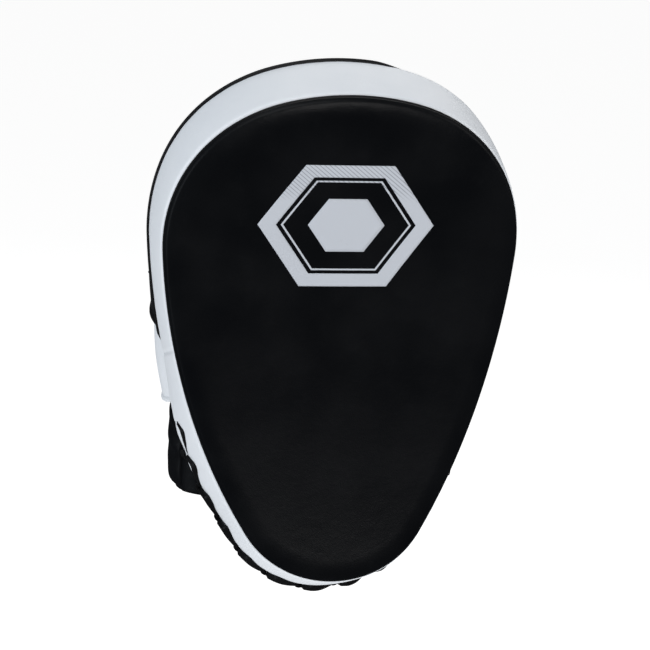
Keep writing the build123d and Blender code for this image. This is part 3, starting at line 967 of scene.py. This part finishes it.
def hood_outside(u, t):
    """Gathered a little beside its seams and along its lower edge."""
    beside = seam_dip(u, HOOD_SEAMS, 0.05) + 0.6 * math.exp(-t / 0.06)
    gathers = 0.8 * MM * beside * noise.noise(Vector((u * 9, t * 19, 2.0)))
    sag = 0.5 * MM * noise.noise(Vector((u * 5, t * 6, 5.0))) * math.sin(math.pi * min(t * 1.2, 1))
    return hood_point(u, t, (gathers + sag) * smooth(min(u, 1 - u) / 0.14), 3.2 * MM)


def hood_inside(u, t):
    return hood_point(u, t, HOOD_WALL, -1.0 * MM)


HOOD_MIDDLE = Vector((0, 0, 30 * MM))
hood_wall = wall_mesh(56, 40, hood_outside, hood_inside, HOOD_SEAMS)
hood_shell = padded_wall("finger_hood", hood_wall, WHITE_LEATHER)[0]
for number, seam in enumerate(HOOD_SEAMS, 1):
    for side in (-1, 1):
        stitches(f"hood_seam_{number}_stitches_{(side + 3) // 2}", 40, hood_outside,
                 lambda s: (seam + side * 0.012, 0.06 + 0.86 * s), HOOD_MIDDLE, WHITE_THREAD, 0.5 * MM)


def edge_tape(name, outside, inside, material, body="mitt", proud=1.0 * MM, tall=2.6 * MM, ends=1.0):
    """Tape folded over the lower edge of a wall; ends is its thickness there, as a share."""
    def path(t):
        first, second = outside(t, 0.0), inside(t, 0.0)
        ahead = outside(min(t + 0.01, 1.0), 0.0) - outside(max(t - 0.01, 0.0), 0.0)
        across = (first - second).normalized()
        return (first + second) / 2, across, ahead.cross(across).normalized()

    def size(t):
        slim = min(1.0, ends + 12 * min(t, 1 - t))
        wide = (outside(t, 0.0) - inside(t, 0.0)).length / 2 + proud
        return wide * slim, tall * slim
    return tube(name, 90, path, size, material, body, sides=20)


hood_tape = edge_tape("finger_hood_edge_tape", hood_outside, hood_inside, TRIM_LEATHER, ends=0.75)
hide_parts("finger_hood_binding")


# --- side mesh -------------------------------------------------------------------------------------
# Black spacer mesh between the back panel and the padded leather, with a bound free edge.
def air_mesh():
    """Spacer mesh: a face of round holes, painted darker inside as shade."""
    finish = Finish("air_mesh", (0.01, 0.01, 0.012), 0.75, Specular_IOR_Level=0.2)
    holes = finish.cells(520.0, randomness=0.25)
    yarn = finish.noise(3000.0, 2.0)
    # The holes are painted darker than the face around them: painted shade inside the holes.
    finish.mottle(holes.ramp(0.2, 0.42), (0.001, 0.001, 0.001), (0.011, 0.012, 0.014))
    finish.bump(holes.ramp(0.15, 0.45) + yarn * 0.15, 0.55 * MM)
    return finish.material


AIR_MESH = air_mesh()
for side, name in ((-1, "thumb"), (1, "outer")):
    def mesh_point(u, t, side=side):
        z = MESH_LOW + (MESH_HIGH - MESH_LOW) * t
        full = bearing_of(HOOD_SECTIONS, 0.0, z, panel_y(z))
        end = bearing_of(HOOD_SECTIONS, 0.0, z, mesh_edge(z)) - 0.02
        return form_point(HOOD_SECTIONS, 1.7 * MM, side * (full + (end - full) * u), z, HOOD_CROWN)

    panel = sheet(f"side_mesh_{name}_side", 40, 40, mesh_point, AIR_MESH, HOOD_MIDDLE, 1.2 * MM)
    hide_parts(f"hood_mesh_{name}_side")

    def edge_path(t, side=side):
        point = mesh_point(1.0, t)
        ahead = mesh_point(1.0, min(t + 0.02, 1)) - mesh_point(1.0, max(t - 0.02, 0))
        out = Vector((side, 0.15, 0)).normalized()
        return point, ahead.cross(out).normalized(), out

    def tape_size(t):
        slim = min(1.0, 0.1 + 7 * t, 0.1 + 3 * (1 - t))
        return 2.0 * MM * slim, 1.3 * MM * slim

    tape = tube(f"side_mesh_{name}_edge_tape", 60, edge_path, tape_size, TRIM_LEATHER, sides=14)


# --- thumb pocket ----------------------------------------------------------------------------------
# Smaller padded pocket for the thumb, beside the palm. Its mouth slants down towards its outer side.
THUMB_SECTIONS = [[value * MM for value in row] for row in (
    (-52, -53, 20, 28, 26), (-25, -59.5, 21, 27, 28), (-5, -63.4, 21, 24.8, 27), (8, -67, 19, 21.2, 22),
    (16, -70, 16, 13.5, 13.5))]
THUMB_CROWN = (2 * MM, 17 * MM)
THUMB_WALL = 8 * MM
THUMB_MOUTH = (-59 * MM, -27 * MM)
THUMB_SLOPE = math.tan(math.radians(38))
THUMB_LOWEST = -49 * MM
THUMB_MIDDLE = Vector((-62 * MM, 10 * MM, -15 * MM))


def thumb_point(u, t, inset):
    share = 2 * u - 1
    x = THUMB_MOUTH[0] + 25 * MM * share
    for _ in range(4):
        low = max(THUMB_LOWEST, THUMB_MOUTH[1] + (x - THUMB_MOUTH[0]) * THUMB_SLOPE)
        z = low + (THUMB_CROWN[1] - inset - low) * t
        bearing = bearing_of(THUMB_SECTIONS, inset, z, panel_y(z)) * share
        at_mouth = bearing_of(THUMB_SECTIONS, inset, low, panel_y(low)) * share
        x = form_point(THUMB_SECTIONS, inset, at_mouth, low, THUMB_CROWN).x
    return form_point(THUMB_SECTIONS, inset, bearing, z, THUMB_CROWN)


def thumb_outside(u, t):
    return thumb_point(u, t, 1.4 * MM * seam_dip(u, (0.5,), 0.03))


def thumb_inside(u, t):
    return thumb_point(u, t, THUMB_WALL)


thumb_wall = wall_mesh(32, 20, thumb_outside, thumb_inside, (0.5,))
thumb_shell = padded_wall("thumb_pocket", thumb_wall, WHITE_LEATHER, most=2.5 * MM, pressure=90.0)[0]
for side in (-1, 1):
    stitches(f"thumb_seam_stitches_{(side + 3) // 2}", 16, thumb_outside,
             lambda s: (0.5 + side * 0.03, 0.08 + 0.8 * s), THUMB_MIDDLE, WHITE_THREAD, 0.4 * MM)
thumb_tape = edge_tape("thumb_pocket_edge_tape", thumb_outside, thumb_inside, WHITE_LEATHER)
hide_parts("thumb_pocket_binding")


# --- grip ball -------------------------------------------------------------------------------------
# Half a rubber ball in the palm, under a leather cover whose flange is sewn to the back panel.
BALL_RADIUS = 28 * MM
BALL_HEIGHT = 17 * MM
BALL_FLANGE = 5 * MM
BALL_PLACE = Vector((5 * MM, 0, -8 * MM))


def ball_point(u, t):
    run = t * (BALL_RADIUS + BALL_FLANGE)
    sphere = (BALL_RADIUS**2 + BALL_HEIGHT**2) / (2 * BALL_HEIGHT)
    x = BALL_PLACE.x + run * math.cos(2 * math.pi * u)
    z = BALL_PLACE.z + run * math.sin(2 * math.pi * u)
    dome = BALL_HEIGHT - sphere + math.sqrt(max(sphere**2 - run**2, 0.0))
    flat = panel_y(z) + 1.7 * MM
    gathers = 0.18 * MM * math.sin(36 * math.pi * u) * math.exp(-((run - BALL_RADIUS) / (4 * MM)) ** 2)
    blend = smooth((run - BALL_RADIUS + 2.5 * MM) / (4.5 * MM))
    return Vector((x, dome + (flat - dome) * blend + gathers, z))


ball_cover = sheet("grip_ball_leather", 96, 40, ball_point, BLACK_LEATHER,
                   BALL_PLACE - Vector((0, 20 * MM, 0)), LEATHER_THICK)
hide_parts("palm_ball_cover")
stitches("grip_ball_stitches", 54, ball_point, lambda s: (s, 0.925), BALL_PLACE - Vector((0, 40 * MM, 0)),
         BLACK_THREAD)
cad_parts["palm_ball"].data.materials.clear()
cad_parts["palm_ball"].data.materials.append(DENSE_FOAM)


# --- wrist cuff ------------------------------------------------------------------------------------
# Two padded leather wings that wrap the wrist and leave a slit behind it. The thumb wing is sewn to
# the pad by a stiff gore. The other wing bends open at its gore like a flap.
CUFF_TOP, CUFF_BOTTOM = -48.2 * MM, -94.5 * MM
CUFF_CENTRE = 22 * MM
CUFF_WIDE, CUFF_DEEP = 78.5 * MM, 38 * MM
CUFF_WALL = 11.5 * MM
CUFF_ROOT = 9 * MM
CUFF_SLIT = 8 * MM
POCKET_ROOM = 4 * MM       # how much lower the thumb wing starts, under the thumb pocket
CREASE_HEIGHT, CREASE_REACH, CREASE_DEPTH = -66 * MM, 14 * MM, 1.0 * MM
GORE_POINT = 11 * MM       # how much higher the gore runs where it meets the pad
CUFF_SEAMS = (0.36, 0.68)
CUFF_IN = 5 * MM           # how far the outer skin rolls in towards the lower edge
CUFF_ROLL = 9 * MM         # and the height over which it does
CUFF_MIDDLE = Vector((0, CUFF_CENTRE, -72 * MM))


def cuff_spot(bearing, offset, z):
    y = CUFF_CENTRE + (CUFF_DEEP + offset) * math.cos(bearing)
    return Vector(((CUFF_WIDE + offset) * math.sin(bearing), y, z))


def cuff_surface(side, inset, dip):
    def place(u, t):
        root = math.acos((CUFF_ROOT - CUFF_CENTRE) / (CUFF_DEEP - inset))
        end = math.asin(CUFF_SLIT / (CUFF_WIDE - inset))
        bearing = root + (end - root) * u
        top = CUFF_TOP - POCKET_ROOM * (1 - smooth(u / 0.3)) * (side < 0)
        z = CUFF_BOTTOM + (top - CUFF_BOTTOM) * t
        slant = (z - CREASE_HEIGHT) / CREASE_REACH
        crease = CREASE_DEPTH * math.sin(slant * 7 + bearing * 9) * math.exp(-slant**2)
        crease *= math.exp(-((u - 0.1) / 0.14) ** 2) * (inset < MM)
        low = max(0.0, 1 - (z - CUFF_BOTTOM) / CUFF_ROLL)
        roll = CUFF_IN * (1 - math.sqrt(1 - low**2)) * (inset < MM)
        return cuff_spot(side * bearing, -inset - roll - dip * seam_dip(u, CUFF_SEAMS, 0.02) + crease, z)
    return place


def gore_surface(side):
    def place(u, t):
        top = CUFF_TOP + GORE_POINT * (1 - u) ** 1.3
        z = CUFF_BOTTOM + (top - CUFF_BOTTOM) * t
        y = panel_y(z) + (CUFF_ROOT - panel_y(z)) * u
        bearing = math.acos((y - CUFF_CENTRE) / CUFF_DEEP)
        slack = 0.9 * MM * math.sin(math.pi * u) + 0.25 * MM * ripple(y, z, 0.012, 2.0)
        return cuff_spot(side * bearing, -0.8 * MM + slack, z)
    return place


for side, name in ((-1, "cuff_thumb_wing"), (1, "cuff_flap")):
    body = "mitt" if side < 0 else None
    outside, inside = cuff_surface(side, 0.0, 1.8 * MM), cuff_surface(side, CUFF_WALL, -0.8 * MM)
    wall = wall_mesh(40, 16, outside, inside, CUFF_SEAMS)
    pieces = list(padded_wall(name, wall, BLACK_LEATHER, body, most=2.5 * MM, pressure=150.0))
    pieces.append(edge_tape(f"{name}_edge_tape", outside, inside, TRIM_LEATHER, body, proud=0.7 * MM,
                            tall=2.0 * MM))
    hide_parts(f"{name}_binding")
    for seam in CUFF_SEAMS:
        for flank in (-1, 1):
            label = f"{name}_seam_{round(seam * 100)}_stitches_{(flank + 3) // 2}"
            pieces.append(stitches(label, 12, outside, lambda s: (seam + flank * 0.014, 0.07 + 0.86 * s),
                                   CUFF_MIDDLE, BLACK_THREAD, 0.4 * MM, body))
    if side > 0:
        for piece in pieces:
            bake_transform(piece)
    gore = sheet(f"{name}_gore_leather", 10, 24, gore_surface(side), BLACK_LEATHER, CUFF_MIDDLE, 1.2 * MM)
    refine(gore)
    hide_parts(f"{name}_gore")


# --- wrist strap -----------------------------------------------------------------------------------
# Stitched strap from the flap across the slit to the thumb wing. It peels open at a fold beside the
# slit. Hook tape under its end grips loop tape on the wing, and a tab at its tip is pulled to open it.
STRAP_LOW, STRAP_HIGH = -92.5 * MM, -53 * MM
STRAP_THICK = 2.5 * MM
STRAP_ROOT_Y = 14.5 * MM
STRAP_TIP_X = -58 * MM
STRAP_CORNER = 12 * MM
FREE_OFFSET = 3.1 * MM     # the free end lies on both tapes
TAPE_MARGIN = 4.5 * MM
TAPE_START = -14 * MM


def bearing_at_x(x, offset=0.0):
    return math.asin(x / (CUFF_WIDE + offset))


def band_surface(first, last, offset, margin=0.0, corner=0.0):
    """A strip round the cuff between two bearings; its last end has rounded corners."""
    low, high = STRAP_LOW + margin, STRAP_HIGH - margin

    def place(u, t):
        bearing = first + (last - first) * u
        left = abs(last - bearing) * CUFF_WIDE * math.cos(bearing)
        cut = corner - math.sqrt(max(0.0, corner**2 - max(0.0, corner - left) ** 2))
        z = low + cut + (high - low - 2 * cut) * t
        rise = offset(cuff_spot(bearing, 0.0, z).x) if callable(offset) else offset
        return cuff_spot(bearing, rise, z)
    return place


def strap_offset(x):
    return 0.4 * MM + (FREE_OFFSET - 0.4 * MM) * smooth((40 * MM - x) / (22 * MM))


def soft_edges(piece, width=0.8 * MM):
    rounding = piece.modifiers.new("edges", "BEVEL")
    rounding.width = width
    rounding.segments = 3
    rounding.limit_method = "ANGLE"


STRAP_LEATHER = leather("strap_leather", (0.0055, 0.0055, 0.006), (0.014, 0.014, 0.015), 0.42, coat=0.08,
                        grain=0.8)
strap_first = math.acos((STRAP_ROOT_Y - CUFF_CENTRE) / CUFF_DEEP)
strap_last = bearing_at_x(STRAP_TIP_X, FREE_OFFSET)
strap_surface = band_surface(strap_first, strap_last, strap_offset, corner=STRAP_CORNER)
strap = sheet("wrist_strap", 110, 16, strap_surface, STRAP_LEATHER, CUFF_MIDDLE, STRAP_THICK, 1.0,
              None, False)
soft_edges(strap)
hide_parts("strap_root", "strap_end")
sewn = [strap]
for edge, t in (("upper", 0.93), ("lower", 0.07)):
    sewn.append(stitches(f"strap_{edge}_stitches", 54, strap_surface, lambda s: (0.02 + 0.94 * s, t),
                         CUFF_MIDDLE, BLACK_THREAD, STRAP_THICK + 0.05 * MM, None))
for piece in sewn:
    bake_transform(piece)


def fastener(name, colour, scale, randomness, depth):
    """Hook-and-loop tape: close rows of hooks, or a mat of loops, painted lighter on the raised tops as
    highlight and darker between them as shade.
    """
    finish = Finish(name, colour, 0.8, Sheen_Weight=0.2)
    knots = finish.cells(scale, randomness=randomness)
    fluff = finish.noise(scale * 1.5, 4.0, 0.7)
    # The lighter colour goes on the raised knots and the darker one between them: painted highlight and
    # painted shade.
    pale = tuple(c * 2.2 for c in colour)
    finish.mottle(knots.ramp(0.1, 0.6) * 0.6 + fluff * 0.4, pale, colour)
    finish.bump(1 - knots + fluff * 0.5, depth)
    return finish.material


HOOK_TAPE = fastener("hook_tape", (0.007, 0.007, 0.008), 760.0, 0.15, 0.6 * MM)
LOOP_TAPE = fastener("loop_tape", (0.012, 0.012, 0.013), 1100.0, 1.0, 0.45 * MM)
for name, node, finish, body, end_x, offset in (
        ("loop_tape_patch", "loop_tape", LOOP_TAPE, "mitt", -70 * MM, 0.3 * MM),
        ("hook_tape_patch", "hook_tape", HOOK_TAPE, "strap_end", STRAP_TIP_X + TAPE_MARGIN, 1.7 * MM)):
    surface = band_surface(bearing_at_x(TAPE_START), bearing_at_x(end_x), offset, TAPE_MARGIN, 4 * MM)
    patch = sheet(name, 90, 44, surface, finish, CUFF_MIDDLE, 1.1 * MM, 1.0, body, False)
    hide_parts(node)
    for edge, t in (("upper", 0.96), ("lower", 0.04)):
        stitches(f"{name}_{edge}_stitches", 14, surface, lambda s: (0.02 + 0.94 * s, t), CUFF_MIDDLE,
                 BLACK_THREAD, 1.15 * MM, body)

TAB_LENGTH = 16 * MM
tab_surface = band_surface(bearing_at_x(STRAP_TIP_X + TAB_LENGTH, 6 * MM), strap_last,
                           FREE_OFFSET + STRAP_THICK + 0.1 * MM, corner=STRAP_CORNER)
tab = sheet("strap_pull_tab_leather", 30, 20, tab_surface, TRIM_LEATHER, CUFF_MIDDLE, LEATHER_THICK, 1.0,
            "strap_end", False)
soft_edges(tab, 0.4 * MM)
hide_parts("strap_pull_tab")
stitches("pull_tab_stitches", 10, tab_surface, lambda s: (0.1, 0.08 + 0.84 * s), CUFF_MIDDLE, BLACK_THREAD,
         1.35 * MM, "strap_end")
